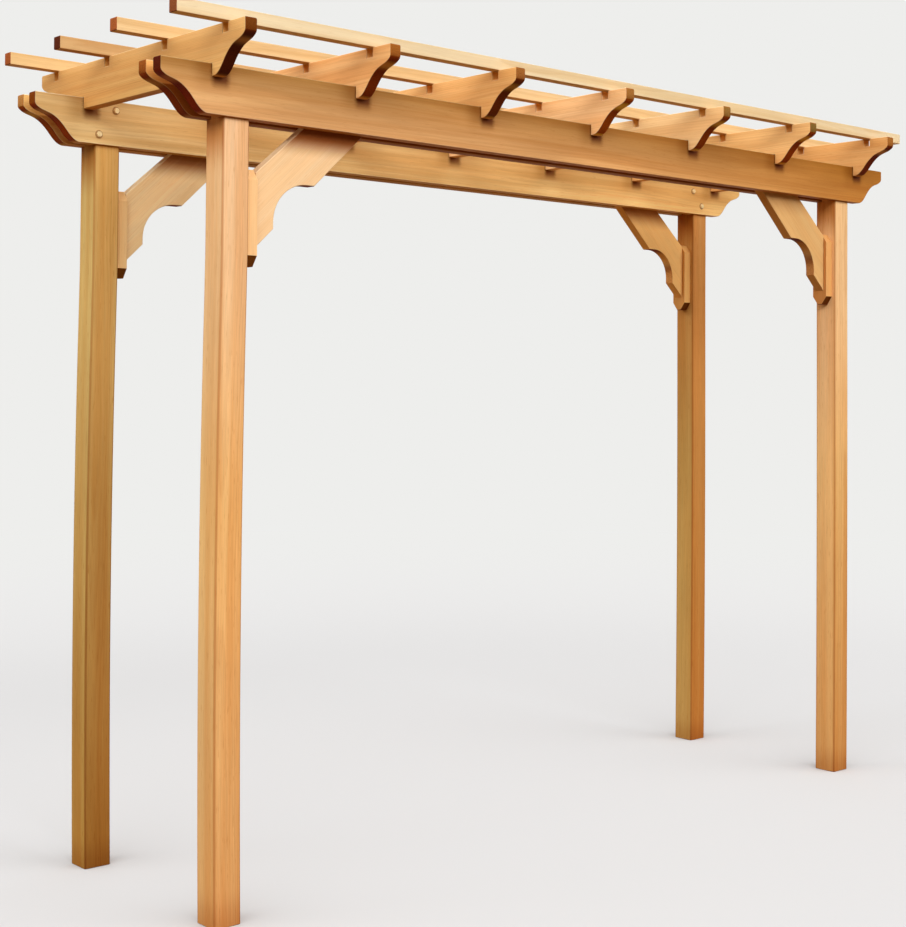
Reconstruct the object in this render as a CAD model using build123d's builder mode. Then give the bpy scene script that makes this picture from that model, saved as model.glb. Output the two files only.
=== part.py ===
"""Open wooden pergola: four posts, two double beams on knee braces, seven rafters, four top slats.

Millimetres, +Z up. X runs along the beams, Y across them, and the origin is on the ground at the
middle of the footprint. The side at -Y is called near and the side at -X is called left.
"""
import os

from build123d import *

# sawn sizes
POST = 89.0
BOARD_T = 38.0
BOARD_H = 140.0
SLAT_W = 38.0
SLAT_H = 38.0

# layout
POST_X = 1427.0
POST_Y = 363.0
BEAM_Z = 2243.0
BEAM_OVERHANG = 255.0
RAFTER_COUNT = 7
RAFTER_OUT = 73.0
RAFTER_OVERHANG = 221.0
SLAT_OVERHANG = 185.0
SLAT_OUT = 123.0
SLAT_INNER = (-170.0, 163.0)

# rafters sit over the beams in notches this deep
LAP = 36.0
LAP_CLEAR = 1.0
SLOT_W = 26.0
SLOT_D = 28.0

# three board thicknesses make a beam: board, post tongue, board
TONGUE_T = BOARD_T
BEAM_HALF_T = TONGUE_T / 2 + BOARD_T
BEAM_TOP = BEAM_Z + BOARD_H
RAFTER_Z = BEAM_TOP - LAP
RAFTER_TOP = RAFTER_Z + BOARD_H
BEAM_HALF = POST_X + BEAM_OVERHANG

# the outer rafters stand just past the posts, and the outer slats past the beams
RAFTER_STEP = 2 * (POST_X + RAFTER_OUT) / (RAFTER_COUNT - 1)
RAFTER_HALF = POST_Y + RAFTER_OVERHANG
SLAT_HALF = POST_X + RAFTER_OUT + SLAT_OVERHANG
SLAT_Y = (-POST_Y - SLAT_OUT, *SLAT_INNER, POST_Y + SLAT_OUT)

# cleats between post and brace, with both ends bevelled on the two outer sides
CLEAT_T = 38.0
CLEAT_W = 64.0
CLEAT_TOP = -135.0
CLEAT_BOTTOM = -411.0
CLEAT_BEVEL_D = 22.0
CLEAT_BEVEL_H = 31.0

# knee brace outline, x from the post's middle and z from the beam's underside
BRACE_X = POST / 2 + CLEAT_T
BRACE_HEEL = -358.0
BRACE_SHOULDER = -143.0
BRACE_TOP_IN = 248.0
BRACE_TOP_OUT = 465.0
BRACE_TAIL = 90.0
SCALLOP_X = 261.0
SCALLOP_Z = -279.0
SCALLOP_R = 115.0

# bolts: distance in from the post's middle, height over the beam's underside
BOLTS_LEFT = ((22.0, 111.0), (-37.0, 31.0))
BOLTS_RIGHT = ((58.0, 96.0), (4.0, 36.0))
WASHER_R = 13.0
WASHER_T = 2.0
HEAD_R = 8.5
HEAD_H = 6.0

EASE = 2.5

# curve of the shaped ends: distance in from the nose, height over the underside
OGEE = ((0.0, 106.0), (6.0, 97.0), (24.0, 87.0), (53.0, 77.5), (78.0, 62.5), (98.0, 43.0),
        (117.5, 20.0), (135.0, 5.5), (150.0, 0.0))

os.makedirs("parts", exist_ok=True)


def save(part, label):
    """Name one piece and write its file."""
    part.label = label
    export_step(part, "parts/" + label + ".step")
    print(label, "volume", round(part.volume))


def ogee_outline(half):
    """Lower edge of a board that runs from -half to +half, with both ends shaped."""
    left = [(-half + x, z) for x, z in OGEE]
    right = [(half - x, z) for x, z in reversed(OGEE)]
    Spline(*left, tangents=[(0.0, -1.0), (1.0, -0.2)])
    Line(left[-1], right[0])
    Spline(*right, tangents=[(1.0, 0.2), (0.0, 1.0)])
    Line(right[-1], (half, BOARD_H))


# posts: square below, a flat tongue between the beam boards above
for name, sx, sy in (("near_left", -1, -1), ("near_right", 1, -1), ("far_left", -1, 1), ("far_right", 1, 1)):
    with BuildPart() as post:
        with Locations((sx * POST_X, sy * POST_Y, 0)):
            Box(POST, POST, BEAM_Z, align=(Align.CENTER, Align.CENTER, Align.MIN))
        chamfer(post.edges().filter_by(Axis.Z), length=EASE)
        with Locations((sx * POST_X, sy * POST_Y, BEAM_Z)):
            Box(POST, TONGUE_T, BOARD_H, align=(Align.CENTER, Align.CENTER, Align.MIN))
    save(post.part, "post_" + name)

# beam boards
for name, y0 in (
    ("beam_near_front", -POST_Y - BEAM_HALF_T),
    ("beam_near_back", -POST_Y + TONGUE_T / 2),
    ("beam_far_front", POST_Y - BEAM_HALF_T),
    ("beam_far_back", POST_Y + TONGUE_T / 2),
):
    with BuildPart() as beam:
        with BuildSketch(Plane.XZ.offset(-y0 - BOARD_T)) as side:
            with BuildLine():
                ogee_outline(BEAM_HALF)
                Line((BEAM_HALF, BOARD_H), (-BEAM_HALF, BOARD_H))
                Line((-BEAM_HALF, BOARD_H), (-BEAM_HALF, OGEE[0][1]))
            make_face()
        extrude(amount=BOARD_T)
    board = beam.part.moved(Location((0, 0, BEAM_Z)))
    save(board, name)

# cleats on the inner sides of the posts
for name, sx, sy in (("near_left", 1, -1), ("near_right", -1, -1), ("far_left", 1, 1), ("far_right", -1, 1)):
    px = -sx * POST_X
    face = px + sx * POST / 2
    low = min(face, face + sx * CLEAT_T)
    front = sy * POST_Y - CLEAT_W / 2
    back = sy * POST_Y + CLEAT_W / 2
    top = BEAM_Z + CLEAT_TOP
    bottom = BEAM_Z + CLEAT_BOTTOM
    with BuildPart() as cleat:
        with BuildSketch(Plane.YZ.offset(low)):
            Polygon(
                (front, bottom + CLEAT_BEVEL_H),
                (front + CLEAT_BEVEL_D, bottom),
                (back - CLEAT_BEVEL_D, bottom),
                (back, bottom + CLEAT_BEVEL_H),
                (back, top - CLEAT_BEVEL_H),
                (back - CLEAT_BEVEL_D, top),
                (front + CLEAT_BEVEL_D, top),
                (front, top - CLEAT_BEVEL_H),
                align=None,
            )
        extrude(amount=CLEAT_T)
    save(cleat.part, "cleat_" + name)

# knee braces, let up between the beam boards
slope = (0.0 - BRACE_HEEL) / (BRACE_TOP_OUT - BRACE_X)
rise = (0.0 - BRACE_SHOULDER) / (BRACE_TOP_IN - BRACE_X)
step_x = SCALLOP_X - SCALLOP_R
step_z = SCALLOP_Z + SCALLOP_R
cut_low = BRACE_HEEL + slope * (step_x - BRACE_X)
cut_high = BRACE_X + (step_z - BRACE_HEEL) / slope
arc_mid = (SCALLOP_X - SCALLOP_R * 0.70710678, SCALLOP_Z + SCALLOP_R * 0.70710678)
top_out = BRACE_X + (BRACE_TAIL - BRACE_HEEL) / slope
top_in = BRACE_X + (BRACE_TAIL - BRACE_SHOULDER) / rise
for name, sx, sy in (("near_left", 1, -1), ("near_right", -1, -1), ("far_left", 1, 1), ("far_right", -1, 1)):
    with BuildPart() as brace:
        with BuildSketch(Plane.XZ.offset(-sy * POST_Y - BOARD_T / 2)):
            with BuildLine():
                Line((BRACE_X, BRACE_SHOULDER), (BRACE_X, BRACE_HEEL))
                Line((BRACE_X, BRACE_HEEL), (step_x, cut_low))
                Line((step_x, cut_low), (step_x, SCALLOP_Z))
                ThreePointArc((step_x, SCALLOP_Z), arc_mid, (SCALLOP_X, step_z))
                Line((SCALLOP_X, step_z), (cut_high, step_z))
                Line((cut_high, step_z), (top_out, BRACE_TAIL))
                Line((top_out, BRACE_TAIL), (top_in, BRACE_TAIL))
                Line((top_in, BRACE_TAIL), (BRACE_X, BRACE_SHOULDER))
            make_face()
        extrude(amount=BOARD_T)
    knee = brace.part
    if sx < 0:
        knee = knee.mirror(Plane.YZ)
    knee = knee.moved(Location((-sx * POST_X, 0, BEAM_Z)))
    save(knee, "brace_" + name)

# rafters, notched over both beams and slotted under the slats
for number in range(RAFTER_COUNT):
    x_mid = (number - (RAFTER_COUNT - 1) / 2) * RAFTER_STEP
    with BuildPart() as rafter:
        with BuildSketch(Plane.YZ.offset(-BOARD_T / 2)):
            with BuildLine():
                ogee_outline(RAFTER_HALF)
                Line((RAFTER_HALF, BOARD_H), (-RAFTER_HALF, BOARD_H))
                Line((-RAFTER_HALF, BOARD_H), (-RAFTER_HALF, OGEE[0][1]))
            make_face()
        extrude(amount=BOARD_T)
        for y_post in (-POST_Y, POST_Y):
            with Locations((0, y_post, 0)):
                Box(
                    BOARD_T,
                    2 * (BEAM_HALF_T + LAP_CLEAR),
                    LAP,
                    align=(Align.CENTER, Align.CENTER, Align.MIN),
                    mode=Mode.SUBTRACT,
                )
        for y_slat in SLAT_Y:
            with Locations((0, y_slat, BOARD_H)):
                Box(
                    BOARD_T,
                    SLOT_W,
                    SLOT_D,
                    align=(Align.CENTER, Align.CENTER, Align.MAX),
                    mode=Mode.SUBTRACT,
                )
    joist = rafter.part.moved(Location((x_mid, 0, RAFTER_Z)))
    save(joist, "rafter_" + str(number + 1))

# top slats
for number, y_slat in enumerate(SLAT_Y):
    with BuildPart() as slat:
        with Locations((0, y_slat, RAFTER_TOP)):
            Box(2 * SLAT_HALF, SLAT_W, SLAT_H, align=(Align.CENTER, Align.CENTER, Align.MIN))
    save(slat.part, "slat_" + str(number + 1))

# bolt heads on washers, on the beam faces that look at each other
for name, sx, sy in (("near_left", 1, -1), ("near_right", -1, -1), ("far_left", 1, 1), ("far_right", -1, 1)):
    y_face = sy * (POST_Y - BEAM_HALF_T)
    with BuildPart() as bolts:
        for dx, dz in BOLTS_LEFT if sx > 0 else BOLTS_RIGHT:
            here = Plane(
                origin=(sx * (dx - POST_X), y_face, BEAM_Z + dz),
                x_dir=(1, 0, 0),
                z_dir=(0, -sy, 0),
            )
            with BuildSketch(here):
                Circle(WASHER_R)
            extrude(amount=WASHER_T)
            with BuildSketch(here.offset(WASHER_T)):
                Circle(HEAD_R)
            extrude(amount=HEAD_H, taper=22)
    save(bolts.part, "bolts_" + name)
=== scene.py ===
# %% [markdown]
# # An open wooden pergola
#
# The real object is a small garden pergola of oiled cedar: four square posts, two double beams held
# by knee braces, seven rafters notched over the beams and four thin slats on top. Nothing moves, so
# there is one body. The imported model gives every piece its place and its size; this script gives
# the pieces the shape of worked timber, with eased edges, and their finish. Lengths are in metres.

import bpy
import numpy as np
from mathutils import Matrix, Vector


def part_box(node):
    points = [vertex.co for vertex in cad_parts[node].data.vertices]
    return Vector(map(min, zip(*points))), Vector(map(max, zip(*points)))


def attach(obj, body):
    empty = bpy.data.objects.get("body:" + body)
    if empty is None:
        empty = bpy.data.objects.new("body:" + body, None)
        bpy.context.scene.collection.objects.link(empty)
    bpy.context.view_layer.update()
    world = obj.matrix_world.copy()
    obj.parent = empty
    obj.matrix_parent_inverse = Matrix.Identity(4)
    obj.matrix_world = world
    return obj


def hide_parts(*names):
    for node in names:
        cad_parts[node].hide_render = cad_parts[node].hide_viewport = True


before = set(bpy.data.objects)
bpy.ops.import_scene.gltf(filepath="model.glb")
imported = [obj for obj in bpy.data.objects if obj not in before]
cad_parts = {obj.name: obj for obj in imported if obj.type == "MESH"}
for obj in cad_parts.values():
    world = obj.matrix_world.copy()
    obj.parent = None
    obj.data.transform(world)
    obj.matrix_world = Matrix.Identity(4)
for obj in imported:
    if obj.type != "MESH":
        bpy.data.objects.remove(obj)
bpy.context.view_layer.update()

# %% [markdown]
# ## The view
#
# A camera can be turned by hand until it looks right, or worked out from known points. Here three
# angles and a place were solved from the corners of posts, beams and rafters. The axes of the camera
# are written out as unit vectors, so that yaw, pitch and roll stay readable. The focal length and
# the row that the view's axis meets are in pixels. The small shift that follows from that row keeps
# the posts nearly upright in the picture, as a level camera does.

# %% Camera
IMAGE = (906, 927)
FOCAL, AXIS_ROW = 1608.9, 346.3
EYE = (-3.9232, -4.1769, 1.4995)
YAW, PITCH, ROLL = np.radians((41.261, 1.408, -0.446))

ahead = np.array((np.sin(YAW) * np.cos(PITCH), np.cos(YAW) * np.cos(PITCH), np.sin(PITCH)))
level = np.array((np.cos(YAW), -np.sin(YAW), 0.0))
below = np.cross(ahead, level)
turn = np.eye(4)
turn[:3, 0] = level * np.cos(ROLL) + below * np.sin(ROLL)
turn[:3, 1] = level * np.sin(ROLL) - below * np.cos(ROLL)
turn[:3, 2] = -ahead
turn[:3, 3] = EYE

lens = bpy.data.cameras.new("view")
lens.sensor_width = 36.0
lens.lens = FOCAL * lens.sensor_width / max(IMAGE)
lens.shift_y = (AXIS_ROW - IMAGE[1] / 2) / max(IMAGE)
lens.clip_end = 200.0
camera = bpy.data.objects.new("view", lens)
camera.matrix_world = Matrix(turn.tolist())
bpy.context.scene.collection.objects.link(camera)
bpy.context.scene.camera = camera
print("lens", round(lens.lens, 2), "shift", round(lens.shift_y, 4))

# %% [markdown]
# ## Writing node trees
#
# A material is a small graph. A few helpers keep such a graph short enough to read: one adds any
# node and fills its sockets with numbers or links, the others add a sum, a soft step or a mix.


# %% Node helpers
def linear(red, green, blue):
    """A colour as seen on a screen, 0 to 255, as the light values that a shader works with."""
    c = np.array((red, green, blue)) / 255.0
    c = np.where(c <= 0.04045, c / 12.92, ((c + 0.055) / 1.055) ** 2.4)
    return (*c.tolist(), 1.0)


def node(tree, kind, sockets=None, out=0, **settings):
    """Adds a node, sets it up, fills its sockets and returns one output, by its number or name."""
    made = tree.nodes.new(kind)
    for key, value in settings.items():
        setattr(made, key, value)
    for key, value in (sockets or {}).items():
        if isinstance(value, bpy.types.NodeSocket):
            tree.links.new(value, made.inputs[key])
        else:
            made.inputs[key].default_value = value
    return made.outputs[out] if made.outputs else made


def calc(tree, operation, *values):
    """One sum on numbers or sockets."""
    return node(tree, "ShaderNodeMath", dict(enumerate(values)), operation=operation)


def step(tree, value, low, high, to_low=0.0, to_high=1.0):
    """A soft step: to_low under low, to_high over high, and an S curve from one to the other."""
    sockets = {0: value, 1: low, 2: high, 3: to_low, 4: to_high}
    return node(tree, "ShaderNodeMapRange", sockets, interpolation_type="SMOOTHSTEP")


def blend(tree, factor, one, other, how="MIX"):
    """Mixes two colours."""
    sockets = {0: factor, 6: one, 7: other}
    return node(tree, "ShaderNodeMix", sockets, 2, data_type="RGBA", blend_type=how)


def fresh(owner):
    """Empties the node tree of a new material or world."""
    owner.use_nodes = True
    owner.node_tree.nodes.clear()
    return owner.node_tree


print("a wood tone as light:", [round(c, 3) for c in linear(222, 164, 100)])

# %% [markdown]
# A few short forms follow: the parts of a vector, an attribute of the mesh, a colour times a number,
# and the kind of ray that has hit.


# %% More node helpers
def split(tree, vector, axes="XYZ"):
    """The parts of a vector along the given axes."""
    return [node(tree, "ShaderNodeSeparateXYZ", {0: vector}, axis) for axis in axes]


def stored(tree, name, kind="Fac"):
    """What the mesh carries under a name: a number, or what kind says, a Vector or a Color."""
    return node(tree, "ShaderNodeAttribute", out=kind, attribute_name=name)


def times(tree, colour, factor):
    """A colour times a number."""
    grey = node(tree, "ShaderNodeCombineXYZ", {0: factor, 1: factor, 2: factor})
    return blend(tree, 1.0, colour, grey, "MULTIPLY")


def rays(tree, *kinds):
    """1 for a ray of one of the given kinds, and 0 for all others."""
    found = 0.0
    for kind in kinds:
        found = calc(tree, "MAXIMUM", found, node(tree, "ShaderNodeLightPath", out=f"Is {kind} Ray"))
    return found


# %% [markdown]
# ## Floor and background
#
# The floor is one large disc. It looks pale but gives only a little warm light back, as ground under
# a timber roof does, so the undersides of the boards keep their deep tone. Far out it fades into the
# background, so no horizon shows from any side. The two are one colour, made with the rays that
# come from the camera or from a mirror finish; the light on the object is separate.


# %% Floor
def sleeve(rings, count):
    """The four-cornered faces between closed rings of points, with count points in each ring."""
    i, j = np.meshgrid(np.arange(rings - 1), np.arange(count), indexing="ij")
    k = (j + 1) % count
    quads = (i * count + j, i * count + k, (i + 1) * count + k, (i + 1) * count + j)
    return np.stack(quads, -1).reshape(-1, 4)


def disc(radius, rings, spokes, hub=0.04):
    """A flat disc: distance from the middle by angle.

    The distance is the radius times the square of a number that grows evenly from hub to 1.
    """
    r = radius * np.linspace(hub, 1.0, rings) ** 2
    a = np.linspace(0.0, 2 * np.pi, spokes, endpoint=False)
    grid = np.stack((r[:, None] * np.cos(a), r[:, None] * np.sin(a), np.zeros((rings, spokes))), -1)
    return grid.reshape(-1, 3), sleeve(rings, spokes)[:, ::-1].tolist() + [list(range(spokes))]


floor_mesh = bpy.data.meshes.new("floor")
points, faces = disc(radius=60.0, rings=24, spokes=96)
floor_mesh.from_pydata(points.tolist(), [], faces)
floor = bpy.data.objects.new("floor", floor_mesh)
bpy.context.scene.collection.objects.link(floor)
print("floor faces", len(faces))

# %% [markdown]
# The floor's finish mixes a matt surface with a plain glow in the colour of the background. The glow
# takes over with the distance from the middle, and only for the eye, so it adds no light.

# %% Floor finish
PALE, LOOK, GIVEN_BACK = linear(238, 238, 236), linear(209, 208, 206), linear(134, 104, 66)
FADE = (2.5, 11.0)

pale_floor = bpy.data.materials.new("pale floor")
tree = fresh(pale_floor)
looked_at = rays(tree, "Camera", "Glossy")
here = node(tree, "ShaderNodeTexCoord", out="Object")
away = node(tree, "ShaderNodeVectorMath", {0: here}, "Value", operation="LENGTH")
tone = blend(tree, looked_at, GIVEN_BACK, LOOK)
matt = node(tree, "ShaderNodeBsdfDiffuse", {0: tone})
glow = node(tree, "ShaderNodeEmission", {0: PALE, 1: 1.0})
share = calc(tree, "MULTIPLY", step(tree, away, *FADE), looked_at)
both = node(tree, "ShaderNodeMixShader", {0: share, 1: matt, 2: glow})
node(tree, "ShaderNodeOutputMaterial", {0: both})
floor_mesh.materials.append(pale_floor)
print("floor fades between", FADE)

# %% [markdown]
# ## Light
#
# Sun would throw hard shadows and a bare studio flash would make the wood look flat. A bright
# overcast day shows timber best. So the light is one wide band of sky, from ten to fifty degrees up,
# strong over the front and weaker behind. Because little shines from low down, the boards shade each
# other: a soft dark line lies under each beam, and the shaped ends stay deep in tone.

# %% World
BAND_FOOT, BAND_TOP = (0.18, 0.38), (0.53, 0.77)
OVERHEAD = 0.08
BRIGHT_SIDE = (-0.58, -0.81, 0.0)
TURN_OF_SKY = (-0.35, 0.35)
BEHIND, BEFORE = 1.8, 5.12

world = bpy.data.worlds.new("dome")
bpy.context.scene.world = world
tree = fresh(world)
seen = rays(tree, "Camera", "Glossy", "Transmission")
sky = node(tree, "ShaderNodeTexCoord", out="Generated")
upward, = split(tree, sky, "Z")
forward = node(tree, "ShaderNodeVectorMath", {0: sky, 1: BRIGHT_SIDE}, "Value", operation="DOT_PRODUCT")
ceiling = step(tree, upward, *BAND_TOP, 1.0, OVERHEAD)
band = calc(tree, "MULTIPLY", step(tree, upward, *BAND_FOOT), ceiling)
power = calc(tree, "MULTIPLY", band, step(tree, forward, *TURN_OF_SKY, BEHIND, BEFORE))
dome = node(tree, "ShaderNodeBackground", {0: linear(253, 253, 255), 1: power})
backdrop = node(tree, "ShaderNodeBackground", {0: PALE, 1: 1.0})
both = node(tree, "ShaderNodeMixShader", {0: seen, 1: dome, 2: backdrop})
node(tree, "ShaderNodeOutputWorld", {0: both})
print("band of sky, degrees up", np.degrees(np.arcsin((*BAND_FOOT, *BAND_TOP))).round())

# %% [markdown]
# ## Cedar
#
# A plank shows its tree. Growth rings are long cylinders round the pith, and a plank is a box cut
# out of them: flat-sawn faces show broad arches, edges show close lines, ends show arcs. An image
# would repeat from board to board, so the finish is worked out in three dimensions instead. Every
# piece carries an attribute called log, which says where each of its points lay in the tree: x along
# the pith, y and z across. The same graph then gives every board its own figure, and the lines run
# round the edges as they should.
#
# All of it is noise drawn out along the grain. Each pair says how fast the noise varies along the
# grain and across it, and a third number is its detail.

# %% Growth rings
RING_STEP = 0.0042
WANDER, SHAKE = (0.8, 5.0), (6.0, 60.0)
STREAK, FIBRE, FLECK = (0.7, 30.0, 3.0), (10.0, 620.0), (22.0, 300.0, 1.0)
CLOUD, PORE, MARK_NOISE = (1.6, 9.0), (90.0, 260.0), (40.0, 120.0)


def figure(tree, log, along, across, detail=2.0):
    """Noise drawn out along the grain, around 0.5."""
    pull = (along, across, across)
    drawn = node(tree, "ShaderNodeVectorMath", {0: log, 1: pull}, operation="MULTIPLY")
    return node(tree, "ShaderNodeTexNoise", {"Vector": drawn, "Scale": 1.0, "Detail": detail})


def growth_rings(tree, log):
    """How much late wood there is, 0 to 1.

    The distance from the pith wanders widely and shakes finely, and is counted in ring steps. Over
    each step the late wood rises slowly and ends fast. Every year has its own strength.
    """
    across = node(tree, "ShaderNodeVectorMath", {0: log, 1: (0.0, 1.0, 1.0)}, operation="MULTIPLY")
    radius = node(tree, "ShaderNodeVectorMath", {0: across}, "Value", operation="LENGTH")
    bend = calc(tree, "MULTIPLY_ADD", figure(tree, log, *WANDER), 0.03, radius)
    shake = calc(tree, "MULTIPLY_ADD", figure(tree, log, *SHAKE), 0.0018, bend)
    count = calc(tree, "DIVIDE", shake, RING_STEP)
    phase = calc(tree, "FRACT", count)
    end = step(tree, phase, 0.9, 1.0, 1.0, 0.0)
    late = calc(tree, "MULTIPLY", step(tree, phase, 0.25, 0.88), end)
    year = calc(tree, "FLOOR", count)
    strength = node(tree, "ShaderNodeTexWhiteNoise", {"W": year}, noise_dimensions="1D")
    return calc(tree, "MULTIPLY", late, step(tree, strength, 0.0, 1.0, 0.35, 1.0))


print("rings for each centimetre", round(0.01 / RING_STEP, 1))

# %% [markdown]
# ## Long grain and end grain
#
# A sawn face has wide streaks of two tones, the lines of the late wood over them, and short flecks.
# Fine fibres and wide clouds then make it a few hundredths lighter or darker. End grain drinks oil
# and turns dark, and is full of small pores. Weather bleaches it where it does not look down.


# %% Grain
def long_grain(tree, log, ring, tones, rings, streaks, cloud):
    """Colour of a sawn face, and its fibres. tones are light, warm and that of the late wood."""
    light, warm, line = tones
    colour = blend(tree, step(tree, figure(tree, log, *STREAK), 0.34, 0.66), light, warm)
    colour = blend(tree, calc(tree, "MULTIPLY", ring, rings), colour, line)
    fibre = figure(tree, log, *FIBRE)
    fleck = step(tree, figure(tree, log, *FLECK), 0.64, 0.74, 0.0, 0.34 * streaks)
    colour = blend(tree, fleck, colour, line)
    fine = step(tree, fibre, 0.3, 0.7, 1.0 - 0.05 * streaks, 1.0 + 0.04 * streaks)
    wide = step(tree, figure(tree, log, *CLOUD), 0.3, 0.7, 1.0 - cloud, 1.0 + cloud)
    return times(tree, colour, calc(tree, "MULTIPLY", fine, wide)), fibre


def end_grain(tree, log, ends, upward):
    """Colour of a sawn end: the first of two tones, or the second where it is bleached."""
    bleached = calc(tree, "MULTIPLY", stored(tree, "bleach"), step(tree, upward, -0.5, -0.05))
    pores = step(tree, figure(tree, log, *PORE), 0.35, 0.7, 1.0, 0.72)
    return times(tree, blend(tree, bleached, *ends), pores)


print("pores for each centimetre", round(PORE[1] / 100, 1))

# %% [markdown]
# ## Stains and painted shade
#
# Some marks lie by height. Under the beams the braces and the sides of the posts carry a brown
# painted shade, where the beams shade them, and the posts are darker again at the foot, part dirt
# and part painted contact shade. Under each rafter lies a small dark mark, part stain and part
# painted contact shadow, inside a wide soft painted shade. The rafters stand at equal steps, so
# folding x at every half step gives the distance to the nearest one.
#
# Each mark is a push along x, how ragged its sides are, where it ends to the side and below, its
# strength, its colour and how that is laid on.

# %% Stains and painted shades
STAIN_AND_SHADE_MARKS = (
    # a small dark mark under each rafter, part stain and part painted contact shadow; then a wide
    # painted shade
    (-0.01, 0.012, (0.022, 0.044), (-0.042, -0.004), 0.85, linear(112, 42, 10), "MIX"),
    (0.014, 0.0, (0.02, 0.085), (-0.07, 0.01), 0.75, (0.7, 0.62, 0.5, 1.0), "MULTIPLY"),
)


def stain_and_shade(tree, colour, log, x, z, stride, top):
    """Lays the stains and painted shades on a colour, one set at every stride along x, under the height
    top.
    """
    mark_noise = figure(tree, log, *MARK_NOISE)
    for push, ragged, sides, levels, strength, tone, how in STAIN_AND_SHADE_MARKS:
        folded = calc(tree, "PINGPONG", calc(tree, "ADD", x, push), stride / 2)
        off = calc(tree, "MULTIPLY_ADD", mark_noise, ragged, folded)
        by_height = step(tree, z, top + levels[0], top + levels[1], 0.0, strength)
        depth = calc(tree, "MULTIPLY", step(tree, off, *sides, 1.0, 0.0), by_height)
        colour = blend(tree, depth, colour, tone, how)
    return colour


def shaded(tree, colour, z, towards, shades):
    """Lays painted shades on a colour, by height.

    Each shade is a low and a high level, its strength at both, its colour, and the axis that its
    faces look along, or None where every face has it.
    """
    shade_strength = stored(tree, "shade_strength")
    for low, high, at_low, at_high, dark, axis in shades:
        depth = calc(tree, "MULTIPLY", step(tree, z, low, high, at_low, at_high), shade_strength)
        if axis is not None:
            depth = calc(tree, "MULTIPLY", depth, calc(tree, "ABSOLUTE", towards[axis]))
        colour = blend(tree, depth, colour, (*dark, 1.0), "MULTIPLY")
    return colour


print("stains", len(STAIN_AND_SHADE_MARKS))

# %% [markdown]
# ## The finish in one
#
# The parts above are laid over each other in turn. First the long grain, then the eased edges, where
# the finish wears and the pale ones also carry a painted highlight, and a painted shade on what faces
# down, which is read from the normal. The stains and painted shades under the rafters come next, then
# the sawn ends, the painted shades by height, and last the piece's own tone, which holds painted light
# and shade too. The late wood stands a little proud and is smoother than the rest.

# %% Cedar material
# painted shade on faces that look down: how far down a face must look for it, and its strength
DOWNWARD, UNDERSIDE_SHADE_STRENGTH = (-0.85, -0.1), 0.8
SAWN_END = (0.08, 0.55)
RELIEF = 0.0005


def cedar(name, tones, arris, ends, rings=0.38, streaks=1.0, cloud=0.05, under_rafters=None, shades=()):
    """Oiled cedar. tones are light, warm and that of the late wood.

    arris is the colour of an eased edge and how strong it is: worn wood, and where it is pale also a
    painted highlight. ends holds the tone of fresh end grain and of bleached end grain. Given the
    rafters' step and the height of their underside, stains and painted shades go under the rafters.
    """
    made = bpy.data.materials.new(name)
    tree = fresh(made)
    log, end = stored(tree, "log", "Vector"), stored(tree, "end")
    towards = split(tree, node(tree, "ShaderNodeNewGeometry", out="Normal"))
    x, z = split(tree, node(tree, "ShaderNodeTexCoord", out="Object"), "XZ")

    ring = growth_rings(tree, log)
    colour, fibre = long_grain(tree, log, ring, tones, rings, streaks, cloud)
    # eased edges: wear, and where they are pale also a painted highlight
    colour = blend(tree, calc(tree, "MULTIPLY", stored(tree, "edge"), arris[1]), colour, arris[0])
    # painted shade: faces that look down turn darker
    underside_shade = step(tree, towards[2], *DOWNWARD, UNDERSIDE_SHADE_STRENGTH, 0.0)
    colour = blend(tree, underside_shade, colour, linear(222, 190, 150), "MULTIPLY")
    # stains with painted contact shadow, and a wide painted shade, under the rafters
    if under_rafters:
        colour = stain_and_shade(tree, colour, log, x, z, *under_rafters)
    colour = blend(tree, step(tree, end, *SAWN_END), colour, end_grain(tree, log, ends, towards[2]))
    # painted shades by height: under the beams, and a darker foot that is part dirt and part painted
    # contact shade
    colour = shaded(tree, colour, z, towards, shades)
    # the piece's own tones, which hold painted light and shade as well
    for key in ("tint", "lean"):
        colour = blend(tree, 1.0, colour, stored(tree, key, "Color"), "MULTIPLY")

    relief = calc(tree, "ADD", calc(tree, "MULTIPLY", ring, 0.6), calc(tree, "MULTIPLY", fibre, 0.8))
    bump = node(tree, "ShaderNodeBump", {"Strength": 0.35, "Distance": RELIEF, "Height": relief})
    shine = calc(tree, "ADD", step(tree, ring, 0.0, 1.0, 0.61, 0.47), calc(tree, "MULTIPLY", end, 0.2))
    wood = node(tree, "ShaderNodeBsdfPrincipled", {
        "Base Color": colour, "Roughness": shine, "Normal": bump, "Specular IOR Level": 0.05})
    node(tree, "ShaderNodeOutputMaterial", {0: wood})
    return made


print("the late wood stands proud by", 1000 * RELIEF, "mm")

# %% [markdown]
# ## Five finishes
#
# All the pieces are the same wood, yet each kind has its own tone: the posts are fresh and streaky,
# the beams a shade deeper with quiet figure, the braces pale, and the slats are planed and palest of
# all. The levels of the painted shades and the places of the stains and painted shades under the
# rafters come from the imported model.


# %% Finishes
def lit(*screens):
    """Several colours as seen on a screen, as light."""
    return [linear(*screen) for screen in screens]


BUTT = lit((104, 30, 1), (168, 94, 34))
BRACE_BUTT = lit((126, 48, 12), (214, 150, 90))
SLAT_BUTT = lit((104, 48, 24), (188, 106, 56))
# pale edges are worn and also stand for a painted highlight, as eased edges catch light
DARK_EDGE, PALE_WEAR_AND_HIGHLIGHT = (linear(176, 108, 52), 0.7), (linear(255, 226, 178), 0.45)
SLAT_WEAR_AND_HIGHLIGHT = (linear(255, 238, 206), 0.3)

one, two = (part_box(f"rafter_{number}")[0] for number in (1, 2))
rafter_step = (two[0] - one[0], one[2])
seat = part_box("beam_near_front")[0][2]
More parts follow.
